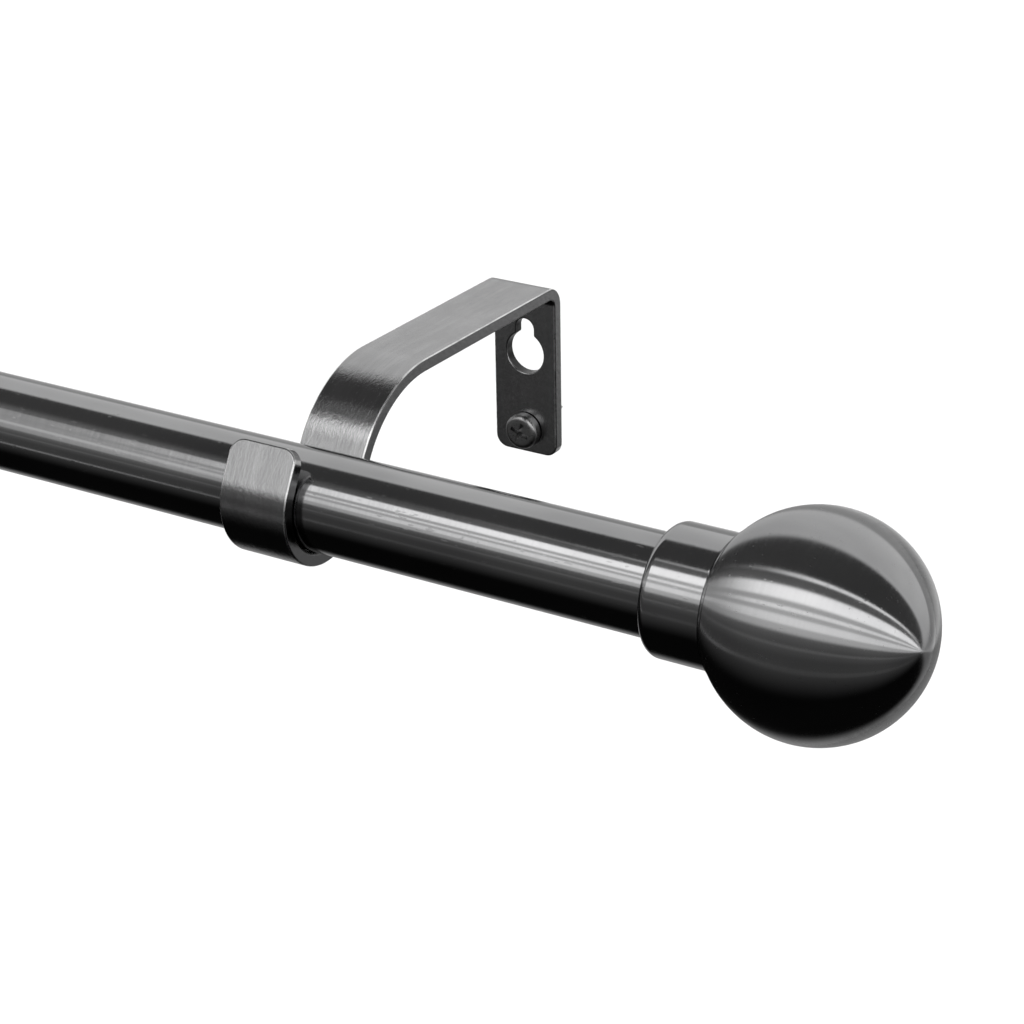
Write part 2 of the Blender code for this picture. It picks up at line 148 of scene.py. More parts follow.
# %% Studio bands in the world shader
# name, where it shines, middle angle, half width, soft edge (degrees), brightness
BANDS = [
    ("room", "all", 0.0, 180.0, 1.0, 0.006),
    ("sweep behind", "all", -68.0, 46.0, 6.0, 0.60),
    ("sweep overhead", "all", -46.0, 25.5, 5.0, 0.66),
    ("floor behind", "all", -128.0, 27.0, 26.0, 0.42),
    ("dark ceiling", "all", 2.0, 28.0, 8.0, 0.115),
    ("softbox spill", "all", 50.0, 28.5, 16.0, 0.22),
    ("softbox", "all", 53.5, 21.5, 4.0, 0.50),
    ("softbox near end", "near", 53.5, 21.5, 4.0, 0.50),
    ("first tube", "near", 38.7, 6.5, 3.5, 2.05),
    ("second tube", "near", 52.8, 2.0, 1.8, 1.40),
    ("third tube", "near", 63.6, 4.0, 2.5, 1.05),
    ("third tube far end", "far", 61.5, 3.0, 3.0, 0.45),
    ("front fill", "all", 85.0, 37.0, 40.0, 0.13),
    ("front wall", "all", 86.0, 8.0, 8.0, 0.06),
    ("cupboard edge", "all", 87.5, 1.4, 1.6, 0.14),
    ("table edge", "near", 109.8, 2.6, 2.0, 0.05),
    ("table edge far end", "far", 112.6, 1.6, 1.6, 0.50),
    ("thin line", "finial", 20.5, 1.8, 1.6, 2.60),
]
# where a band fades in, by the direction's share along the rod: from nothing to full
FADES = {"near": (-0.590, -0.560), "far": (-0.560, -0.590), "finial": (-0.500, -0.320)}


def new_node(tree, kind, label, **settings):
    node = tree.nodes.new(kind)
    node.label = label
    for key, value in settings.items():
        setattr(node, key, value)
    return node


def math_node(tree, operation, label, *inputs):
    node = new_node(tree, "ShaderNodeMath", label, operation=operation)
    for socket, value in zip(node.inputs, inputs):
        if isinstance(value, (int, float)):
            socket.default_value = value
        else:
            tree.links.new(value, socket)
    return node.outputs[0]


def band_light(tree, angle, along, name, where, middle, half, soft, brightness):
    """Brightness inside the band, falling to nothing over its soft edge and past its end."""
    offset = math_node(tree, "SUBTRACT", name + " offset", angle, middle)
    away = math_node(tree, "ABSOLUTE", name + " distance", offset)
    edge = new_node(tree, "ShaderNodeMapRange", name, interpolation_type="SMOOTHSTEP")
    tree.links.new(away, edge.inputs["Value"])
    edge.inputs["From Min"].default_value = half + soft / 2
    edge.inputs["From Max"].default_value = half - soft / 2
    edge.inputs["To Min"].default_value = 0.0
    edge.inputs["To Max"].default_value = brightness
    light = edge.outputs["Result"]
    if where in FADES:
        nothing, full = FADES[where]
        fade = new_node(tree, "ShaderNodeMapRange", name + " end", interpolation_type="SMOOTHSTEP")
        tree.links.new(along, fade.inputs["Value"])
        fade.inputs["From Min"].default_value = nothing
        fade.inputs["From Max"].default_value = full
        light = math_node(tree, "MULTIPLY", name + " to its end", light, fade.outputs["Result"])
    return light


BACKDROP = 0.97
world = bpy.data.worlds.new("studio")
bpy.context.scene.world = world
world.use_nodes = True
tree = world.node_tree
tree.nodes.clear()
direction = new_node(tree, "ShaderNodeTexCoord", "direction")
split = new_node(tree, "ShaderNodeSeparateXYZ", "split direction")
tree.links.new(direction.outputs["Generated"], split.inputs[0])
front = math_node(tree, "MULTIPLY", "towards the front", split.outputs["Y"], -1.0)
radians_round = math_node(tree, "ARCTAN2", "angle round the rod", front, split.outputs["Z"])
angle = math_node(tree, "DEGREES", "in degrees", radians_round)
total = None
for band in BANDS:
    light = band_light(tree, angle, split.outputs["X"], *band)
    total = light if total is None else math_node(tree, "ADD", "sum", total, light)
bands_shader = new_node(tree, "ShaderNodeBackground", "studio bands")
tree.links.new(total, bands_shader.inputs["Strength"])
backdrop = new_node(tree, "ShaderNodeBackground", "plain backdrop")
backdrop.inputs["Strength"].default_value = BACKDROP
ray = new_node(tree, "ShaderNodeLightPath", "who is looking")
pick = new_node(tree, "ShaderNodeMixShader", "camera sees the backdrop")
tree.links.new(ray.outputs["Is Camera Ray"], pick.inputs[0])
tree.links.new(bands_shader.outputs[0], pick.inputs[1])
tree.links.new(backdrop.outputs[0], pick.inputs[2])
world_output = new_node(tree, "ShaderNodeOutputWorld", "output")
tree.links.new(pick.outputs[0], world_output.inputs[0])
bpy.context.scene.view_settings.view_transform = "Standard"
print("studio bands", len(BANDS))

# %% [markdown]
# The floor lies well below the rod, because the rod hangs on a wall. It is kept out of the
# metal's reflections, where it would wash out the dark below. One broad lamp overhead lights
# only what is matt: the floor and the plastic. It doesn't show in the metal either.

# %% Floor and overhead lamp
FLOOR_BELOW = 0.35
FLOOR_SIZE = 60.0
bpy.ops.object.select_all(action="DESELECT")
bpy.ops.mesh.primitive_plane_add(size=FLOOR_SIZE, location=(0.0, 0.0, cad_low.z - FLOOR_BELOW))
floor = bpy.context.object
floor.name = "floor"
floor.visible_glossy = False
floor_material = bpy.data.materials.new("pale_floor")
floor_material.use_nodes = True
floor_shader = floor_material.node_tree.nodes["Principled BSDF"]
floor_shader.inputs["Base Color"].default_value = (0.9, 0.9, 0.9, 1.0)
floor_shader.inputs["Roughness"].default_value = 1.0
floor_shader.inputs["Specular IOR Level"].default_value = 0.0
floor.data.materials.append(floor_material)

lamp_data = bpy.data.lights.new("overhead", "SUN")
lamp_data.energy = 1.35
lamp_data.angle = math.radians(60.0)
lamp = bpy.data.objects.new("overhead", lamp_data)
lamp.rotation_euler = (math.radians(12.0), math.radians(-14.0), 0.0)
lamp.visible_glossy = False
bpy.context.scene.collection.objects.link(lamp)
print("floor at z mm", round(floor.location.z / MM, 1))

# %% [markdown]
# ## Helpers for modelling
#
# Every piece is modelled in place, so its object can end at the origin with its place in its
# mesh. The loaded nodes come in selected, so each piece starts by deselecting everything.
# After the modelling its transform is applied, its faces are turned outwards, it is parented
# to the body it moves with, and the node it stands for is hidden.

# %% Helpers: start, select and finish a piece
def start_piece():
    if bpy.context.object and bpy.context.object.mode != "OBJECT":
        bpy.ops.object.mode_set(mode="OBJECT")
    bpy.ops.object.select_all(action="DESELECT")


def edit():
    bpy.ops.object.mode_set(mode="EDIT")


def leave_edit():
    bpy.ops.object.mode_set(mode="OBJECT")


def select_edges(test):
    """Select the edges for which test(first end, second end) holds, in world places."""
    leave_edit()
    piece = bpy.context.object
    mesh = piece.data
    for group in (mesh.vertices, mesh.edges, mesh.polygons):
        group.foreach_set("select", [False] * len(group))
    places = [piece.matrix_world @ vertex.co for vertex in mesh.vertices]
    chosen = 0
    for edge in mesh.edges:
        if test(places[edge.vertices[0]], places[edge.vertices[1]]):
            edge.select = True
            chosen += 1
    edit()
    bpy.ops.mesh.select_mode(type="EDGE")
    return chosen


def select_faces(test):
    """Select the faces for which test(middle, normal) holds, in world places."""
    leave_edit()
    piece = bpy.context.object
    mesh = piece.data
    for group in (mesh.vertices, mesh.edges, mesh.polygons):
        group.foreach_set("select", [False] * len(group))
    turn = piece.matrix_world.to_3x3()
    chosen = 0
    for face in mesh.polygons:
        if test(piece.matrix_world @ face.center, turn @ face.normal):
            face.select = True
            chosen += 1
    edit()
    bpy.ops.mesh.select_mode(type="FACE")
    return chosen


def use_modifier(piece, kind, **settings):
    """Add a modifier with these settings and apply it."""
    modifier = piece.modifiers.new(kind.title(), kind)
    for key, value in settings.items():
        setattr(modifier, key, value)
    bpy.context.view_layer.objects.active = piece
    bpy.ops.object.modifier_apply(modifier=modifier.name)


def settle(piece, smooth_angle=40.0):
    """Apply the piece's transform, merge doubles, face outwards and shade smooth."""
    leave_edit()
    bpy.ops.object.select_all(action="DESELECT")
    piece.select_set(True)
    bpy.context.view_layer.objects.active = piece
    bpy.ops.object.transform_apply(location=True, rotation=True, scale=True)
    edit()
    bpy.ops.mesh.select_all(action="SELECT")
    bpy.ops.mesh.remove_doubles(threshold=0.002 * MM)
    bpy.ops.mesh.normals_make_consistent(inside=False)
    leave_edit()
    bpy.ops.object.shade_smooth_by_angle(angle=math.radians(smooth_angle))
    piece.select_set(False)


def even_shading(piece):
    """Let the large faces set the normals, so a small rim doesn't bend a long wall's shine."""
    use_modifier(piece, "WEIGHTED_NORMAL", keep_sharp=True, weight=80)


def hand_over(piece, node, material):
    """Let the piece stand for its node, move with the node's body and take its finish."""
    bodies = frame["record"]["behaviour"]["bodies"]
    body = next(name for name, nodes in bodies.items() if node in nodes)
    piece.data.materials.clear()
    piece.data.materials.append(material)
    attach(piece, body)
    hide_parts(node)
    print(piece.name, "faces", len(piece.data.polygons), "rides on", body)


# %% [markdown]
# ## Turned pieces
#
# Tubes, collars, plugs and rings come off a lathe, or might as well. The way to draw one is
# to start with a circle round the rod's axis and pull it along ring by ring, growing or
# shrinking it as the outline goes. A ring-shaped piece ends by bridging its last ring to its
# first. The rounded edges are ordinary bevels on the sharp circles.

# %% A lathe made of extrusions
TURN_STEPS = 128


def turn_piece(name, outline, steps=TURN_STEPS, solid=False):
    """Pull a circle through (x, radius) stations round the rod's axis, then close the ring.

    A solid piece has no bore, so its first and last circles are filled instead.
    """
    start_piece()
    first_x, first_r = outline[0]
    bpy.ops.mesh.primitive_circle_add(
        vertices=steps, radius=first_r, location=(first_x, AXIS_Y, AXIS_Z),
        rotation=(0.0, math.pi / 2, 0.0),
    )
    piece = bpy.context.object
    piece.name = name
    edit()
    bpy.ops.mesh.select_all(action="SELECT")
    radius = first_r
    for (x, next_r), (last_x, last_r) in zip(outline[1:], outline):
        bpy.ops.mesh.extrude_edges_move(TRANSFORM_OT_translate={"value": (x - last_x, 0.0, 0.0)})
        if next_r != radius:
            grow = next_r / radius
            bpy.ops.transform.resize(
                value=(1.0, grow, grow), center_override=(x, AXIS_Y, AXIS_Z),
            )
            radius = next_r
    last_x, last_r = outline[-1]
    if solid:
        for x, r in (outline[0], outline[-1]):
            select_edges(lambda a, b: on_ring(a, b, x, r))
            bpy.ops.mesh.edge_face_add()
    else:
        select_edges(lambda a, b: on_ring(a, b, first_x, first_r) or on_ring(a, b, last_x, last_r))
        bpy.ops.mesh.bridge_edge_loops()
    leave_edit()
    return piece


def from_axis(point):
    return math.hypot(point.y - AXIS_Y, point.z - AXIS_Z)


def on_ring(a, b, x, radius, slack=0.02 * MM):
    """Whether both ends lie on the ring of this radius at this x."""
    flat = abs(a.x - x) < slack and abs(b.x - x) < slack
    return flat and abs(from_axis(a) - radius) < slack and abs(from_axis(b) - radius) < slack


def round_ring(x, radius, width, segments=4):
    """Round off the sharp circle of this radius at this x."""
    count = select_edges(lambda a, b: on_ring(a, b, x, radius))
    if count:
        bpy.ops.mesh.bevel(offset=width, segments=segments, affect="EDGES")
    leave_edit()
    return count


# %% [markdown]
# ## Finishes
#
# Every finish is a small node tree on the ordinary Principled shader. Noise stretched along
# the way a tool ran makes grooves, the same noise shifts the roughness a little, and sparser
# noise makes scratches. Coordinates are the object's own, in metres, so a grain that is
# 0.4 mm wide on one piece is 0.4 mm wide on all. These helpers add the usual nodes.

# %% Helpers: node materials
def new_material(name, base, roughness, metallic):
    material = bpy.data.materials.new(name)
    material.use_nodes = True
    shader = material.node_tree.nodes["Principled BSDF"]
    shader.inputs["Base Color"].default_value = (*base, 1.0)
    shader.inputs["Roughness"].default_value = roughness
    shader.inputs["Metallic"].default_value = metallic
    return material, material.node_tree, shader


def stretched_noise(tree, label, scale, detail=3.0, rough=0.55, shift=(0.0, 0.0, 0.0)):
    """Noise with its own frequency, in waves per metre, along each axis of the object."""
    place = new_node(tree, "ShaderNodeTexCoord", label + " place")
    mapping = new_node(tree, "ShaderNodeMapping", label + " stretch")
    tree.links.new(place.outputs["Object"], mapping.inputs["Vector"])
    mapping.inputs["Location"].default_value = shift
    mapping.inputs["Scale"].default_value = scale
    noise = new_node(tree, "ShaderNodeTexNoise", label)
    noise.inputs["Scale"].default_value = 1.0
    noise.inputs["Detail"].default_value = detail
    noise.inputs["Roughness"].default_value = rough
    tree.links.new(mapping.outputs[0], noise.inputs["Vector"])
    return noise.outputs["Fac"]


def spread(tree, label, value, low_in, high_in, low_out, high_out):
    """Map a range of values onto another, clamped at both ends."""
    node = new_node(tree, "ShaderNodeMapRange", label)
    node.clamp = True
    tree.links.new(value, node.inputs["Value"])
    for socket, number in zip(("From Min", "From Max", "To Min", "To Max"),
                              (low_in, high_in, low_out, high_out)):
        node.inputs[socket].default_value = number
    return node.outputs["Result"]


def bump(tree, label, height, strength, distance, under=None):
    node = new_node(tree, "ShaderNodeBump", label)
    node.inputs["Strength"].default_value = strength
    node.inputs["Distance"].default_value = distance
    tree.links.new(height, node.inputs["Height"])
    if under is not None:
        tree.links.new(under, node.inputs["Normal"])
    return node.outputs["Normal"]


def tint(tree, shader, label, amount, dark, light):
    """Let a value choose between two greys for the base colour."""
    mix = new_node(tree, "ShaderNodeMix", label, data_type="RGBA")
    tree.links.new(amount, mix.inputs[0])
    mix.inputs[6].default_value = (*dark, 1.0)
    mix.inputs[7].default_value = (*light, 1.0)
    tree.links.new(mix.outputs[2], shader.inputs["Base Color"])


def paint_over(tree, shader, label, amount, colour):
    """Mix one more colour over what the base colour is so far."""
    so_far = shader.inputs["Base Color"].links[0].from_socket
    mix = new_node(tree, "ShaderNodeMix", label, data_type="RGBA")
    tree.links.new(amount, mix.inputs[0])
    tree.links.new(so_far, mix.inputs[6])
    mix.inputs[7].default_value = (*colour, 1.0)
    tree.links.new(mix.outputs[2], shader.inputs["Base Color"])


def stretch_highlights(tree, shader, amount):
    """Draw reflections out along X, which is across the grooves of every brushed piece here."""
    across = new_node(tree, "ShaderNodeCombineXYZ", "across the grooves")
    across.inputs["X"].default_value = 1.0
    tree.links.new(across.outputs[0], shader.inputs["Tangent"])
    shader.inputs["Anisotropic"].default_value = amount


# %% [markdown]
# The visible steel is nickel plated nearly black and brushed. On everything turned the
# brushing runs round the axis, and fine grooves throw a reflection out across themselves, so
# the highlight is stretched along X. On the ball that isn't enough: light bands run from seat
# to pole like the lines on a globe, because each groove mirrors as a ring of a cone would.
# Cutting down the normal's share along X gives that. The ball is smoother than the tubes, so
# its ticks and scratches are fainter.

# %% Dark nickel, brushed round the axis
NICKEL_DARK = (0.265, 0.265, 0.268)
NICKEL_LIGHT = (0.335, 0.335, 0.337)
SCRATCH_ROUGHNESS = 0.12


def flatten_along(tree, amount):
    """The surface normal with its share along X cut down, as grooves round X reflect."""
    facing = new_node(tree, "ShaderNodeNewGeometry", "facing")
    squeeze = new_node(
        tree, "ShaderNodeVectorMath", "grooves face away from the ends", operation="MULTIPLY",
    )
    tree.links.new(facing.outputs["Normal"], squeeze.inputs[0])
    squeeze.inputs[1].default_value = (amount, 1.0, 1.0)
    length_one = new_node(
        tree, "ShaderNodeVectorMath", "made length one", operation="NORMALIZE",
    )
    tree.links.new(squeeze.outputs[0], length_one.inputs[0])
    return length_one.outputs[0]


def nickel_turned(name, rough_low, rough_high, stretch, wear=1.0, along=1.0):
    material, tree, shader = new_material(name, NICKEL_LIGHT, 0.14, 1.0)
    stretch_highlights(tree, shader, stretch)
    grooves = stretched_noise(tree, "grooves", (2600.0, 70.0, 70.0))
    ticks = stretched_noise(tree, "short ticks", (1500.0, 420.0, 420.0), shift=(3.0, 1.0, 2.0))
    haze = stretched_noise(tree, "haze", (28.0, 90.0, 90.0), detail=2.0)
    scratch = stretched_noise(
        tree, "scratches", (420.0, 1900.0, 1900.0), detail=1.0, shift=(7.0, 0.0, 5.0),
    )
    scratch_line = spread(tree, "scratch line", scratch, 0.70, 0.74, 0.0, 1.0)
    tone = spread(tree, "tone", haze, 0.35, 0.65, 0.0, 1.0)
    tint(tree, shader, "nickel tone", tone, NICKEL_DARK, NICKEL_LIGHT)
    fine = spread(tree, "groove roughness", grooves, 0.3, 0.7, rough_low, rough_high)
    worn = spread(tree, "scratch roughness", scratch_line, 0.0, 1.0, 0.0, SCRATCH_ROUGHNESS)
    rough = math_node(tree, "ADD", "roughness", fine, worn)
    tree.links.new(rough, shader.inputs["Roughness"])
    under = flatten_along(tree, along) if along < 1.0 else None
    normal = bump(tree, "groove bump", grooves, 0.10, 0.004 * MM, under)
    normal = bump(tree, "tick bump", ticks, 0.22 * wear, 0.008 * MM, normal)
    normal = bump(tree, "scratch bump", scratch_line, 0.25 * wear, 0.010 * MM, normal)
    tree.links.new(normal, shader.inputs["Normal"])
    return material


NICKEL_TURNED = nickel_turned("dark_nickel_turned", 0.09, 0.15, 0.6)
NICKEL_BALL = nickel_turned("dark_nickel_ball", 0.13, 0.18, 1.0, wear=0.25, along=0.25)
print("turned finishes", NICKEL_TURNED.name, NICKEL_BALL.name)

# %% [markdown]
# Bent strip has the same plating over a coarser grain, and four kinds of surface. The broad
# faces are brushed lengthways. The broken edges show bright steel in patches: partly wear,
# partly a highlight painted as a bright band along every edge. The long sides are painted a
# darker grey as shade, and the walls of the punched holes are painted nearly black as shade.
# Each kind is found by its place: how far a point is from the middle of the strip's width
# tells the faces, the edges and the sides apart. A Wrap node brings both brackets to one
# middle, so one material serves the two.

# %% Masks for the strip's surfaces
bracket_low, bracket_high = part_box("bracket_right")
STRIP_HALF = (bracket_high.x - bracket_low.x) / 2
BRACKET_SPAN = bracket_low.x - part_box("bracket_left")[0].x


def across_strip(tree):
    """How far a point is from the middle of the nearer bracket, and its X, Y and Z."""
    place = new_node(tree, "ShaderNodeTexCoord", "place on the strip")
    parts = new_node(tree, "ShaderNodeSeparateXYZ", "parts of the place")
    tree.links.new(place.outputs["Object"], parts.inputs[0])
    inside = math_node(
        tree, "WRAP", "from the nearer bracket's middle", parts.outputs["X"],
        BRACKET_SPAN / 2, -BRACKET_SPAN / 2,
    )
    return math_node(tree, "ABSOLUTE", "off the middle", inside), parts


def from_side(tree, label, off, outer, inner, low_out, high_out):
    """Change from one value to the other between two depths in from the strip's long side."""
    return spread(tree, label, off, STRIP_HALF - outer, STRIP_HALF - inner, low_out, high_out)


def edge_wear_and_highlight(tree, off):
    """One on the strip's broken edges, nothing elsewhere: patchy wear plus a painted highlight that
    stays at a third or more along every edge.
    """
    rise = from_side(tree, "edge starts", off, 0.45 * MM, 0.25 * MM, 0.0, 1.0)
    fall = from_side(tree, "side starts", off, 0.10 * MM, 0.02 * MM, 1.0, 0.0)
    patches = stretched_noise(tree, "patchy wear", (500.0, 350.0, 350.0), shift=(2.0, 2.0, 2.0))
    patchy = spread(tree, "wear strength", patches, 0.35, 0.60, 0.35, 1.0)
    both = math_node(tree, "MULTIPLY", "edge band", rise, fall)
    return math_node(tree, "MULTIPLY", "edge wear and painted highlight", both, patchy)


def painted_hole_shade(tree, off, parts):
    """One on the walls of the punched holes, where shade is painted: within the plate's thickness,
    near its middle.
    """
    y, z = parts.outputs["Y"], parts.outputs["Z"]
    deep = spread(tree, "below the front face", y, -2.4 * MM, -2.1 * MM, 0.0, 1.0)
    not_back = spread(tree, "before the back face", y, -0.3 * MM, -0.1 * MM, 1.0, 0.0)
    narrow = spread(tree, "not the plate's side", off, 5.0 * MM, 5.5 * MM, 1.0, 0.0)
    low = spread(tree, "below the bend", z, 15.5 * MM, 16.5 * MM, 1.0, 0.0)
    near = math_node(tree, "MULTIPLY", "near the middle", deep, narrow)
    front = math_node(tree, "MULTIPLY", "in the plate", near, low)
    return math_node(tree, "MULTIPLY", "painted hole shade", front, not_back)


print("strip half width mm", round(STRIP_HALF / MM, 2), "brackets apart", round(BRACKET_SPAN / MM))

# %% Dark nickel on bent strip
STRIP_DARK = (0.295, 0.295, 0.297)
# Edge colour: partly bare steel where worn, partly a painted highlight along every bevel.
BARE_STEEL_AND_EDGE_HIGHLIGHT = (0.78, 0.78, 0.78)
# Hole colour: painted shade, near black on the walls of the punched holes.
PAINTED_HOLE_SHADE = (0.035, 0.035, 0.035)
# Long side colour: painted shade, a darker grey on the strip's narrow sides.
PAINTED_SIDE_SHADE = (0.165, 0.165, 0.167)
RUBBED_ROUGHNESS = 0.28


def nickel_strip():
    material, tree, shader = new_material("dark_nickel_strip", NICKEL_LIGHT, 0.2, 1.0)
    stretch_highlights(tree, shader, 0.5)
    grooves = stretched_noise(tree, "grooves along the strip", (3200.0, 260.0, 260.0))
    grain = stretched_noise(
        tree, "grain", (2100.0, 900.0, 900.0), detail=5.0, rough=0.7, shift=(1.0, 4.0, 2.0),
    )
    haze = stretched_noise(tree, "haze", (160.0, 110.0, 110.0))
    streak = stretched_noise(tree, "streaks", (900.0, 60.0, 60.0), shift=(5.0, 1.0, 8.0))
    scratch = stretched_noise(
        tree, "scratches", (2300.0, 260.0, 260.0), detail=1.0, shift=(0.0, 9.0, 5.0),
    )
    scratch_line = spread(tree, "scratch line", scratch, 0.66, 0.72, 0.0, 1.0)

    off, parts = across_strip(tree)
    edge = edge_wear_and_highlight(tree, off)
    side = from_side(tree, "long sides", off, 0.12 * MM, 0.04 * MM, 0.0, 1.0)
    tone = math_node(tree, "MULTIPLY", "tone", haze, streak)
    tone = spread(tree, "tone range", tone, 0.17, 0.34, 0.0, 1.0)
    tint(tree, shader, "nickel tone", tone, STRIP_DARK, NICKEL_LIGHT)
    # Painted highlight: a bright band mixed in along every bevel, partly real rubbed steel.
    paint_over(tree, shader, "bare steel and painted highlight at edges", edge, BARE_STEEL_AND_EDGE_HIGHLIGHT)
    walls = painted_hole_shade(tree, off, parts)
    # Painted shade: the walls of the punched holes are mixed towards near black.
    paint_over(tree, shader, "painted shade in the holes", walls, PAINTED_HOLE_SHADE)
    # Painted shade: the strip's long sides are mixed towards a darker grey.
    paint_over(tree, shader, "painted shade on the long sides", side, PAINTED_SIDE_SHADE)

    fine = spread(tree, "grain roughness", grain, 0.3, 0.7, 0.06, 0.12)
    worn = spread(tree, "scratch roughness", scratch_line, 0.0, 1.0, 0.0, SCRATCH_ROUGHNESS)
    rubbed = spread(tree, "edge roughness", edge, 0.0, 1.0, 0.0, RUBBED_ROUGHNESS)
    rough = math_node(tree, "ADD", "fine and worn", fine, worn)
    rough = math_node(tree, "ADD", "roughness", rough, rubbed)
    tree.links.new(rough, shader.inputs["Roughness"])
    normal = bump(tree, "groove bump", grooves, 0.35, 0.010 * MM)
    normal = bump(tree, "grain bump", grain, 0.8, 0.065 * MM, normal)
    normal = bump(tree, "scratch bump", scratch_line, 0.4, 0.014 * MM, normal)
    tree.links.new(normal, shader.inputs["Normal"])
    return material


NICKEL_STRIP = nickel_strip()
print("strip finish", NICKEL_STRIP.name, "nodes", len(NICKEL_STRIP.node_tree.nodes))

# %% [markdown]
# Three plainer finishes are left. The plastic parts carry the fine sand of a spark-eroded
# mould and faint flow marks. The hidden hardware is zinc plated, pale with a soft cloudy
# crystal pattern. The wall screws are dark nickel like the strip, but barrel plated, so they
# have a fine even grit and no brushing.

# %% Black plastic, zinc and barrel plated nickel
def black_plastic():
    material, tree, shader = new_material(
        "moulded_black_plastic", (0.02, 0.02, 0.022), 0.45, 0.0,
    )
    sand = stretched_noise(tree, "mould texture", (2200.0, 2200.0, 2200.0), detail=3.0)
    rough = spread(tree, "roughness", sand, 0.3, 0.7, 0.38, 0.55)
    tree.links.new(rough, shader.inputs["Roughness"])
    tree.links.new(bump(tree, "mould bump", sand, 0.3, 0.015 * MM), shader.inputs["Normal"])
    flow = stretched_noise(tree, "flow marks", (200.0, 60.0, 60.0), detail=2.0)
    tint(tree, shader, "plastic tone", flow, (0.014, 0.014, 0.015), (0.028, 0.028, 0.030))
    return material


def zinc_steel():
    material, tree, shader = new_material(
        "zinc_plated_steel", (0.62, 0.63, 0.65), 0.3, 1.0,
    )
    spangle = stretched_noise(tree, "zinc cloud", (700.0, 700.0, 700.0), detail=4.0)
    rough = spread(tree, "roughness", spangle, 0.3, 0.7, 0.22, 0.4)
    tree.links.new(rough, shader.inputs["Roughness"])
    tint(tree, shader, "zinc tone", spangle, (0.50, 0.51, 0.54), (0.70, 0.71, 0.72))
    tree.links.new(bump(tree, "zinc bump", spangle, 0.2, 0.01 * MM), shader.inputs["Normal"])
    return material


def screw_black():
    material, tree, shader = new_material("dark_nickel_screw", (0.3, 0.3, 0.3), 0.3, 1.0)
    grit = stretched_noise(tree, "plating grit", (2500.0, 2500.0, 2500.0), detail=3.0)
    rough = spread(tree, "roughness", grit, 0.3, 0.7, 0.24, 0.4)
    tree.links.new(rough, shader.inputs["Roughness"])
    tint(tree, shader, "plating tone", grit, (0.26, 0.26, 0.262), (0.38, 0.38, 0.38))
    tree.links.new(bump(tree, "plating bump", grit, 0.3, 0.012 * MM), shader.inputs["Normal"])
    return material


BLACK_PLASTIC = black_plastic()
ZINC_STEEL = zinc_steel()
SCREW_BLACK = screw_black()
print("finishes made", len(bpy.data.materials))

# %% [markdown]
# ## The two tubes
#
# Each tube is a wall 0.7 mm thick with a bore right through it. Its cut ends are square, with
# only the burr taken off. The thick tube's left end and the thin tube's right end are where
# the rod telescopes. A ring near each end keeps the long wall's shading clear of the rim.

# %% Tubes
END_LOOP = 1.0 * MM
BURR = 0.15 * MM


def tube(node):
    low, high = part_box(node)
    radius = (high.z - low.z) / 2
    bore = radius - TUBE_WALL
    near, far = low.x + END_LOOP, high.x - END_LOOP
    outline = [(low.x, radius), (near, radius), (far, radius), (high.x, radius)]
    outline += [(high.x, bore), (far, bore), (near, bore), (low.x, bore)]
    piece = turn_piece(node + "_brushed", outline)
    for x in (low.x, high.x):
        round_ring(x, radius, BURR, segments=2)
    settle(piece)
    even_shading(piece)
    hand_over(piece, node, NICKEL_TURNED)
    return piece


tube("outer_tube")
tube("inner_tube")

# %% [markdown]
# ## Collars
#
# The collar is a thick turned cup that slips over the tube's end. Its open rim is well
# rounded, down almost to the tube. Its closed end is flat, with a crisp edge that catches
# the light, and a small hole for the screw that holds the ball. Left and right are the same
# cup facing opposite ways, so every station is measured from the open rim.

# %% Collars
COLLAR_FLOOR = 1.6 * MM
COLLAR_BORE_R = ROD_R + 0.3 * MM
COLLAR_RIM = 1.8 * MM
COLLAR_BACK = 0.35 * MM
SCREW_BORE_R = 2.2 * MM


def collar(node, side):
    low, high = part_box(node)
    radius = (high.z - low.z) / 2
    rim, back = (low.x, high.x) if side > 0 else (high.x, low.x)
    floor_x = back - side * COLLAR_FLOOR
    outline = [(back, SCREW_BORE_R), (back, radius), (rim, radius), (rim, COLLAR_BORE_R)]
    outline += [(floor_x, COLLAR_BORE_R), (floor_x, SCREW_BORE_R)]
    piece = turn_piece(node + "_turned", outline)
    round_ring(rim, radius, COLLAR_RIM, segments=10)
    round_ring(rim, COLLAR_BORE_R, BURR, segments=2)
    round_ring(back, radius, COLLAR_BACK, segments=4)
    settle(piece)
    even_shading(piece)
    hand_over(piece, node, NICKEL_TURNED)
    return piece


collar("right_collar", 1)
collar("left_collar", -1)

# %% [markdown]
# ## Ball finials
#
# The ball is a hollow shell. A sphere is added with its poles on the rod's axis, so that its
# rings run the way the brushing does. A bisect cuts it off at the seat, the cut edge is
# pulled in to a small hole, and a Solidify gives the shell its wall. The seat is a hair
# larger than the collar, which leaves the fine dark seam between the two.

# %% Balls
BALL_WALL = 1.0 * MM
BALL_RINGS = 96
SEAT_ROUND = 0.25 * MM


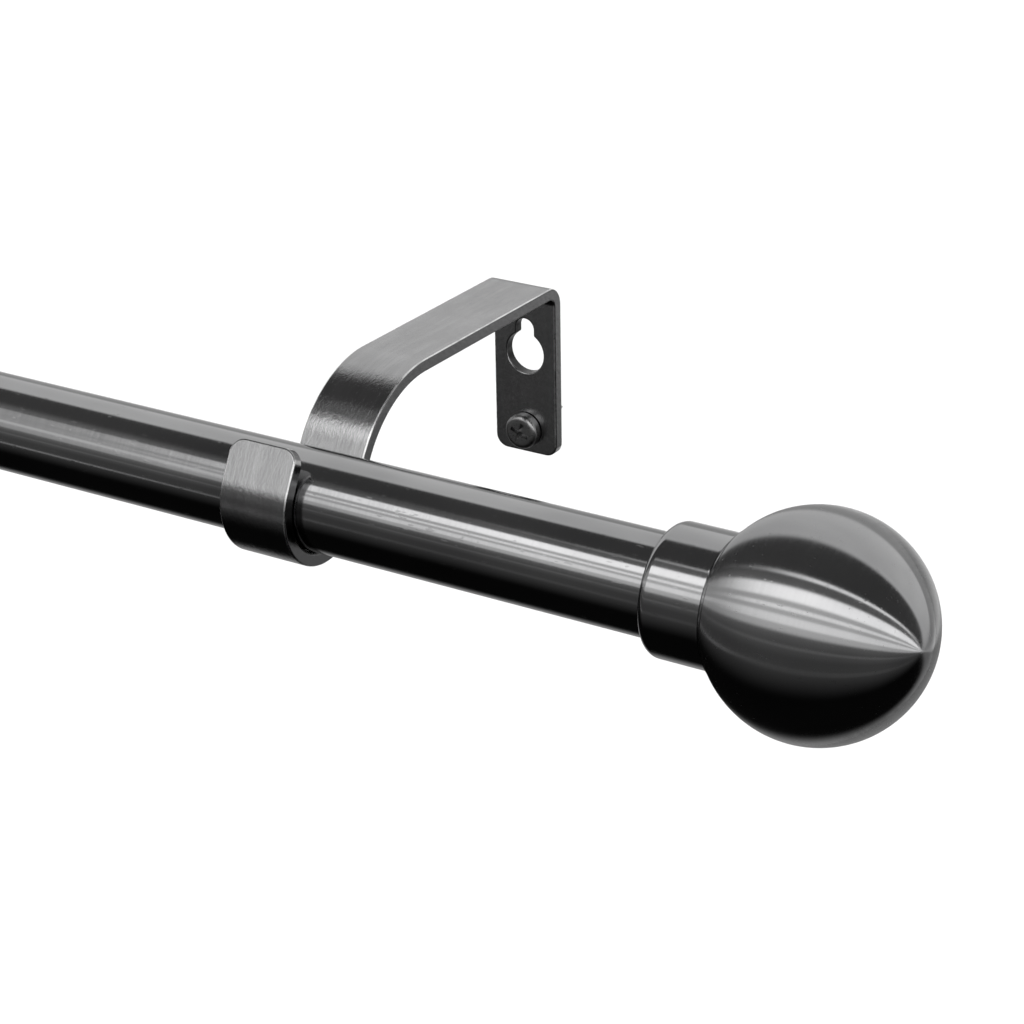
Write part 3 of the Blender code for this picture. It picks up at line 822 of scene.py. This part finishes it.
def ball(node, side):
    low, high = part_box(node)
    radius = (high.z - low.z) / 2
    seat_x, far_x = (low.x, high.x) if side > 0 else (high.x, low.x)
    middle_x = far_x - side * radius
    start_piece()
    bpy.ops.mesh.primitive_uv_sphere_add(
        segments=TURN_STEPS, ring_count=BALL_RINGS, radius=radius,
        location=(middle_x, AXIS_Y, AXIS_Z), rotation=(0.0, math.pi / 2, 0.0),
    )
    piece = bpy.context.object
    piece.name = node + "_brushed"
    edit()
    bpy.ops.mesh.select_all(action="SELECT")
    bpy.ops.mesh.bisect(
        plane_co=(seat_x, AXIS_Y, AXIS_Z), plane_no=(side, 0.0, 0.0), clear_inner=True,
        threshold=0.001 * MM,
    )
    leave_edit()
    places = [piece.matrix_world @ vertex.co for vertex in piece.data.vertices]
    seat_r = max(from_axis(place) for place in places if abs(place.x - seat_x) < 0.01 * MM)
    found = select_edges(lambda a, b: on_ring(a, b, seat_x, seat_r))
    shrink = SCREW_BORE_R / seat_r
    bpy.ops.mesh.extrude_edges_move()
    bpy.ops.transform.resize(
        value=(1.0, shrink, shrink), center_override=(seat_x, AXIS_Y, AXIS_Z),
    )
    bpy.ops.mesh.select_all(action="SELECT")
    bpy.ops.mesh.normals_make_consistent(inside=False)
    leave_edit()
    round_ring(seat_x, seat_r, SEAT_ROUND, segments=3)
    use_modifier(piece, "SOLIDIFY", thickness=BALL_WALL, offset=-1.0)
    settle(piece)
    hand_over(piece, node, NICKEL_BALL)
    print("seat edges found", found, "seat radius mm", round(seat_r / MM, 2))
    return piece


ball("right_ball", 1)
ball("left_ball", -1)

# %% [markdown]
# ## Brackets
#
# A bracket is bent from one flat bar, 15 mm by 2.5 mm, so it is drawn the way it is bent.
# A rectangle the size of the bar's section starts at the bottom of the wall plate. Straight
# stretches are extrusions and bends are spins: forward at the wall, over the shoulder, and
# back the other way under the rod, with a straight lip at the end. The short straight neck
# between the shoulder and the hook touches both circles, so its lean and its length come
# from a little trigonometry.

# %% Sizes of the bent strip
STRIP_WIDTH = bracket_high.x - bracket_low.x
STRIP_THICK = 2.5 * MM
HOOK_R = ROD_R + 0.4 * MM
SHOULDER_R = 24.8 * MM
NECK_SLACK = 0.8 * MM
WALL_BEND_R = 4.3 * MM
LIP_LEAN = math.radians(28.0)
LIP_LENGTH = 8.0 * MM
PLATE_CORNER_R = 2.75 * MM
LIP_CORNER_R = 3.2 * MM
EDGE_BREAK = 0.35 * MM
LOBE_R = 4.5 * MM
LOBE_Z = AXIS_Z + 0.9 * MM
SLOT_R = 2.15 * MM
SLOT_RISE = 5.4 * MM
SCREW_Z = AXIS_Z - 16.3 * MM
SCREW_HOLE_R = 2.4 * MM

arm_top = bracket_high.z - AXIS_Z
reach = HOOK_R + SHOULDER_R
shoulder_z = arm_top - SHOULDER_R
shoulder_y = math.sqrt((reach + NECK_SLACK) ** 2 - shoulder_z ** 2)
neck_angle = math.atan2(shoulder_z, shoulder_y) - math.acos(reach / (reach + NECK_SLACK))
neck_length = math.sqrt((reach + NECK_SLACK) ** 2 - reach ** 2)
print("strip mm", round(STRIP_WIDTH / MM, 2), "neck mm", round(neck_length / MM, 2))
print("neck leans", round(90 + math.degrees(neck_angle), 1), "degrees")

# %% Bend one strip
def push(vector):
    bpy.ops.mesh.extrude_region_move(TRANSFORM_OT_translate={"value": vector})


def bend(middle_x, y, z, sweep, steps):
    """Spin about X, a positive sweep taking +Y to +Z: the operator's own sign runs against it."""
    bpy.ops.mesh.spin(steps=steps, angle=-sweep, center=(middle_x, y, z), axis=(1.0, 0.0, 0.0))


def bent_strip(name, middle_x):
    start_piece()
    bpy.ops.mesh.primitive_plane_add(size=1.0, location=(middle_x, -STRIP_THICK / 2, bracket_low.z))
    piece = bpy.context.object
    piece.name = name
    edit()
    bpy.ops.mesh.select_all(action="SELECT")
    bpy.ops.transform.resize(value=(STRIP_WIDTH, STRIP_THICK, 1.0))
    bend_z = bracket_high.z - WALL_BEND_R
    push((0.0, 0.0, bend_z - bracket_low.z))
    bend(middle_x, -WALL_BEND_R, bend_z, math.pi / 2, 10)
    push((0.0, AXIS_Y + shoulder_y + WALL_BEND_R, 0.0))
    bend(middle_x, AXIS_Y + shoulder_y, AXIS_Z + shoulder_z, math.pi / 2 + neck_angle, 28)
    push((0.0, neck_length * math.sin(neck_angle), -neck_length * math.cos(neck_angle)))
    hook_sweep = math.pi + neck_angle + LIP_LEAN
    bend(middle_x, AXIS_Y, AXIS_Z, -hook_sweep, 64)
    push((0.0, LIP_LENGTH * math.sin(LIP_LEAN), LIP_LENGTH * math.cos(LIP_LEAN)))
    leave_edit()
    return piece


# %% [markdown]
# The blank's corners were rounded and its holes punched before it was bent. Here it is easier
# afterwards: the four short end edges are bevelled, cylinders and a block are subtracted for
# the keyhole and the screw hole, and a Bevel modifier breaks every sharp edge at once. The
# strip's fine bright outline is that bevel's shine together with a highlight painted along it
# in the strip's finish.

# %% Round, punch and break the edges
def round_corners(piece, middle_x):
    """Round the two corners of the plate's foot and the two of the lip's tip."""
    sine, cosine = math.sin(LIP_LEAN), math.cos(LIP_LEAN)
    middle_r = HOOK_R + STRIP_THICK / 2
    tip_y = AXIS_Y - middle_r * cosine + LIP_LENGTH * sine
    tip_z = AXIS_Z + middle_r * sine + LIP_LENGTH * cosine
    ends = [(-STRIP_THICK / 2, bracket_low.z, PLATE_CORNER_R), (tip_y, tip_z, LIP_CORNER_R)]
    for y, z, radius in ends:
        def short_edge(a, b):
            middle = (a + b) / 2
            at_side = abs(abs(middle.x - middle_x) - STRIP_WIDTH / 2) < 0.01 * MM
            at_end = math.hypot(middle.y - y, middle.z - z) < 0.05 * MM
            return at_side and at_end and (a - b).length > STRIP_THICK / 2
        print(piece.name, "corner edges", select_edges(short_edge))
        bpy.ops.mesh.bevel(offset=radius, segments=10, affect="EDGES")
    leave_edit()


def cutter_cylinder(middle_x, z, radius):
    bpy.ops.mesh.primitive_cylinder_add(
        vertices=64, radius=radius, depth=4 * STRIP_THICK,
        location=(middle_x, -STRIP_THICK / 2, z), rotation=(math.pi / 2, 0.0, 0.0),
    )
    return bpy.context.object


def cut_away(piece, cutter):
    piece.select_set(False)
    use_modifier(piece, "BOOLEAN", operation="DIFFERENCE", solver="EXACT", object=cutter)
    bpy.data.objects.remove(cutter, do_unlink=True)


def bracket(node):
    middle_x = (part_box(node)[0].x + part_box(node)[1].x) / 2
    piece = bent_strip(node + "_bent_strip", middle_x)
    round_corners(piece, middle_x)
    settle(piece)
    cut_away(piece, cutter_cylinder(middle_x, LOBE_Z, LOBE_R))
    cut_away(piece, cutter_cylinder(middle_x, LOBE_Z + SLOT_RISE, SLOT_R))
    bpy.ops.mesh.primitive_cube_add(
        size=1.0, location=(middle_x, -STRIP_THICK / 2, LOBE_Z + SLOT_RISE / 2),
    )
    slot = bpy.context.object
    slot.dimensions = (2 * SLOT_R, 4 * STRIP_THICK, SLOT_RISE)
    bpy.context.view_layer.update()
    cut_away(piece, slot)
    cut_away(piece, cutter_cylinder(middle_x, SCREW_Z, SCREW_HOLE_R))
    use_modifier(piece, "BEVEL", width=EDGE_BREAK, segments=3, limit_method="ANGLE",
                 angle_limit=math.radians(40.0), harden_normals=False)
    settle(piece, smooth_angle=50.0)
    even_shading(piece)
    hand_over(piece, node, NICKEL_STRIP)
    return piece


bracket("bracket_right")
bracket("bracket_left")

# %% [markdown]
# ## Plastic parts
#
# Black moulded parts keep the metal from scraping: a bush in the mouth of the thick tube, a
# slider inside it on the end of the thin one, a sleeve that brings the thin tube up to the
# collar's bore, and a ribbed plug in each tube end that the finial's screw goes through.
# All are turned shapes, so each is one outline with its sharp rims rounded as a mould does.

# %% Bush, slider and sleeve
FIT = 0.2 * MM


def moulded(node, outline, rims=()):
    piece = turn_piece(node + "_moulded", outline)
    for x, radius, width in rims:
        round_ring(x, radius, width, segments=4)
    settle(piece)
    even_shading(piece)
    hand_over(piece, node, BLACK_PLASTIC)
    return piece


def bush():
    low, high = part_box("mouth_bush")
    lip = low.x + 1.5 * MM
    outer, body, bore = ROD_R, ROD_R - TUBE_WALL - FIT, INNER_R + FIT
    outline = [(low.x, outer), (lip, outer), (lip, body)]
    outline += [(high.x, body), (high.x, bore), (low.x, bore)]
    return moulded("mouth_bush", outline, [(low.x, outer, 0.5 * MM), (low.x, bore, 0.3 * MM)])


def slider():
    low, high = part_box("inner_tube_slider")
    head = high.x - 3.0 * MM
    outer, stem = ROD_R - TUBE_WALL - FIT, INNER_R - TUBE_WALL - 0.3 * MM
    bore = stem - 1.1 * MM
    outline = [(low.x, stem), (head, stem), (head, outer)]
    outline += [(high.x, outer), (high.x, bore), (low.x, bore)]
    rims = [(high.x, outer, 0.6 * MM), (head, outer, 0.4 * MM)]
    return moulded("inner_tube_slider", outline, rims)


def sleeve():
    low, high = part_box("reducer_sleeve")
    bore = INNER_R + 0.3 * MM
    outline = [(low.x, ROD_R), (high.x, ROD_R), (high.x, bore), (low.x, bore)]
    rims = [(low.x, ROD_R, 0.3 * MM), (high.x, ROD_R, 0.3 * MM)]
    return moulded("reducer_sleeve", outline, rims)


bush()
slider()
sleeve()

# %% [markdown]
# A plug is pushed into its tube and stays by its ribs: each one rises slowly towards the
# tube and drops off sharply behind, so it goes in more easily than it comes out. The outline
# is a saw blade, repeated once a rib, then the flange that stops against the tube's end.

# %% Ribbed plugs
PLUG_FLANGE = 1.5 * MM
PLUG_FLOOR = 3.5 * MM
PLUG_WALL = 2.2 * MM
RIB_DEPTH = 0.5 * MM
RIBS = 4


def plug(node, side, tube_r):
    low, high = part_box(node)
    start = low.x if side > 0 else high.x
    length = high.x - low.x
    outer = tube_r - TUBE_WALL - 0.3 * MM
    root, bore = outer - RIB_DEPTH, outer - PLUG_WALL
    neck = length - PLUG_FLANGE
    pitch = neck / RIBS
    stations = [(0.0, outer - 0.3 * MM)]
    for rib in range(RIBS):
        crest = (rib + 0.5) * pitch
        stations += [(crest, outer), (crest + 0.15 * MM, root), ((rib + 1) * pitch, root)]
    stations += [(neck, tube_r), (length, tube_r), (length, SCREW_BORE_R)]
    stations += [(length - PLUG_FLOOR, SCREW_BORE_R), (length - PLUG_FLOOR, bore), (0.0, bore)]
    outline = [(start + side * along, radius) for along, radius in stations]
    flange_x = start + side * length
    return moulded(node, outline, [(flange_x, tube_r, 0.2 * MM)])


plug("right_plug", 1, ROD_R)
plug("left_plug", -1, INNER_R)

# %% [markdown]
# ## Screws, nuts and washers
#
# Two black pan head screws hold the plates to the wall. Inside each finial a zinc plated
# screw runs through a washer, the plug and the collar into a nut in the ball. The washer is
# turned. The nut is a six-sided bar with its corners broken and a hole through it.

# %% Washers and nuts
WASHER_STEPS = 48
NUT_CHAMFER = 0.3 * MM


def washer(node):
    low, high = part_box(node)
    radius = (high.z - low.z) / 2
    outline = [(low.x, radius), (high.x, radius), (high.x, SCREW_BORE_R), (low.x, SCREW_BORE_R)]
    piece = turn_piece(node + "_zinc", outline, steps=WASHER_STEPS)
    for x in (low.x, high.x):
        round_ring(x, radius, BURR, segments=2)
    settle(piece)
    hand_over(piece, node, ZINC_STEEL)
    return piece


def nut(node):
    low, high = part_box(node)
    middle_x, thick, radius = (low.x + high.x) / 2, high.x - low.x, (high.z - low.z) / 2
    start_piece()
    bpy.ops.mesh.primitive_cylinder_add(vertices=6, radius=radius, depth=thick)
    piece = bpy.context.object
    piece.name = node + "_zinc"
    corner_up = Matrix.Rotation(math.pi / 2, 4, "X") @ Matrix.Rotation(math.pi / 2, 4, "Y")
    piece.matrix_world = Matrix.Translation((middle_x, AXIS_Y, AXIS_Z)) @ corner_up
    for x in (low.x, high.x):
        select_edges(lambda a, b: abs(a.x - x) < 0.01 * MM and abs(b.x - x) < 0.01 * MM)
        bpy.ops.mesh.bevel(offset=NUT_CHAMFER, segments=2, affect="EDGES")
    leave_edit()
    bpy.ops.mesh.primitive_cylinder_add(
        vertices=WASHER_STEPS, radius=SCREW_BORE_R, depth=3 * thick,
        location=(middle_x, AXIS_Y, AXIS_Z), rotation=(0.0, math.pi / 2, 0.0),
    )
    cut_away(piece, bpy.context.object)
    settle(piece)
    hand_over(piece, node, ZINC_STEEL)
    return piece


for end in ("right", "left"):
    washer(end + "_washer")
    nut(end + "_ball_nut")

# %% [markdown]
# A screw starts as a turned pin, a rounded pan head on a shank with closely spaced rings.
# The rings are then pushed in along a helix, deepest between the crests, which leaves the
# thread, fading in below the plain part and out at the tip. Two bars that narrow as they go
# down are subtracted for the cross. All four screws come from the same lines with their own
# sizes, lying on the rod's axis, and the last step turns each one into its place.

# %% Screws
PAN_STEPS = 8
THREAD_STEPS = 48
THREAD_DEPTH = 0.35 * MM
CROSS_DEPTH = 1.2 * MM
CROSS_TURN = math.radians(20.0)


def pan_screw(name, head_r, head_h, shank_r, length, plain, cone):
    """A screw from x = 0 at the top of its head to x = length at its tip, on the rod's axis."""
    flat_r, crown = 0.70 * head_r, 0.45 * head_h
    outline = []
    for step in range(PAN_STEPS + 1):
        turn = math.pi / 2 * step / PAN_STEPS
        outline.append((crown * (1 - math.cos(turn)), flat_r + (head_r - flat_r) * math.sin(turn)))
    outline += [(head_h, head_r), (head_h, shank_r)]
    pitch = 0.8 * shank_r
    rings = round((length - head_h) / (pitch / 8))
    for ring in range(1, rings + 1):
        x = head_h + (length - head_h) * ring / rings
        taper = min(1.0, 0.12 + (length - x) / cone)
        outline.append((x, shank_r * taper))
    piece = turn_piece(name, outline, steps=THREAD_STEPS, solid=True)
    settle(piece, smooth_angle=60.0)
    for vertex in piece.data.vertices:
        x, y, z = vertex.co
        if x < head_h + plain:
            continue
        turn = math.atan2(z - AXIS_Z, y - AXIS_Y)
        wave = 0.5 + 0.5 * math.cos(2 * math.pi * x / pitch - turn)
        radius = math.hypot(y - AXIS_Y, z - AXIS_Z)
        fade = min(1.0, (x - head_h - plain) / pitch) * min(1.0, radius / shank_r)
        shrink = 1 - fade * THREAD_DEPTH / shank_r * (1 - wave ** 2)
        vertex.co = (x, AXIS_Y + (y - AXIS_Y) * shrink, AXIS_Z + (z - AXIS_Z) * shrink)
    return piece


def cut_cross(piece, head_r):
    """Cut a cross whose arms narrow towards the bottom, turned a little as it was left."""
    for quarter in (0.0, math.pi / 2):
        bpy.ops.object.select_all(action="DESELECT")
        bpy.ops.mesh.primitive_cube_add(
            size=1.0, location=(0.0, AXIS_Y, AXIS_Z), rotation=(CROSS_TURN + quarter, 0.0, 0.0),
        )
        arm = bpy.context.object
        arm.dimensions = (2 * CROSS_DEPTH, head_r * 0.24, head_r * 1.15)
        bpy.context.view_layer.update()
        select_faces(lambda middle, normal: normal.x > 0.9)
        bpy.ops.transform.resize(
            value=(1.0, 0.55, 0.55), center_override=(CROSS_DEPTH, AXIS_Y, AXIS_Z),
        )
        leave_edit()
        cut_away(piece, arm)


def put_screw(piece, node, head_x, side, material):
    """Turn a finished screw towards its side and slide it along the rod's axis."""
    if side < 0:
        piece.matrix_world = (
            Matrix.Translation((0.0, AXIS_Y, AXIS_Z)) @ Matrix.Rotation(math.pi, 4, "Z")
            @ Matrix.Translation((0.0, -AXIS_Y, -AXIS_Z))
        )
    piece.location.x += head_x
    settle(piece, smooth_angle=50.0)
    hand_over(piece, node, material)


for end, side in (("right", 1), ("left", -1)):
    node = end + "_finial_screw"
    low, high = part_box(node)
    head_r = (high.z - low.z) / 2
    pin = pan_screw(
        node + "_zinc", head_r, head_h=2.2 * MM, shank_r=1.9 * MM, length=high.x - low.x,
        plain=6.0 * MM, cone=1.2 * MM,
    )
    cut_cross(pin, head_r)
    put_screw(pin, node, low.x if side > 0 else high.x, side, ZINC_STEEL)

for end in ("right", "left"):
    node = "wall_screw_" + end
    low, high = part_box(node)
    head_r = (high.z - low.z) / 2
    pin = pan_screw(
        node + "_pan_head", head_r, head_h=2.4 * MM, shank_r=2.0 * MM, length=high.y - low.y,
        plain=3.2 * MM, cone=6.0 * MM,
    )
    cut_cross(pin, head_r)
    place = Vector(((low.x + high.x) / 2, low.y, (low.z + high.z) / 2))
    pin.matrix_world = (
        Matrix.Translation(place) @ Matrix.Rotation(math.pi / 2, 4, "Z")
        @ Matrix.Translation((0.0, -AXIS_Y, -AXIS_Z))
    )
    settle(pin, smooth_angle=50.0)
    hand_over(pin, node, SCREW_BLACK)
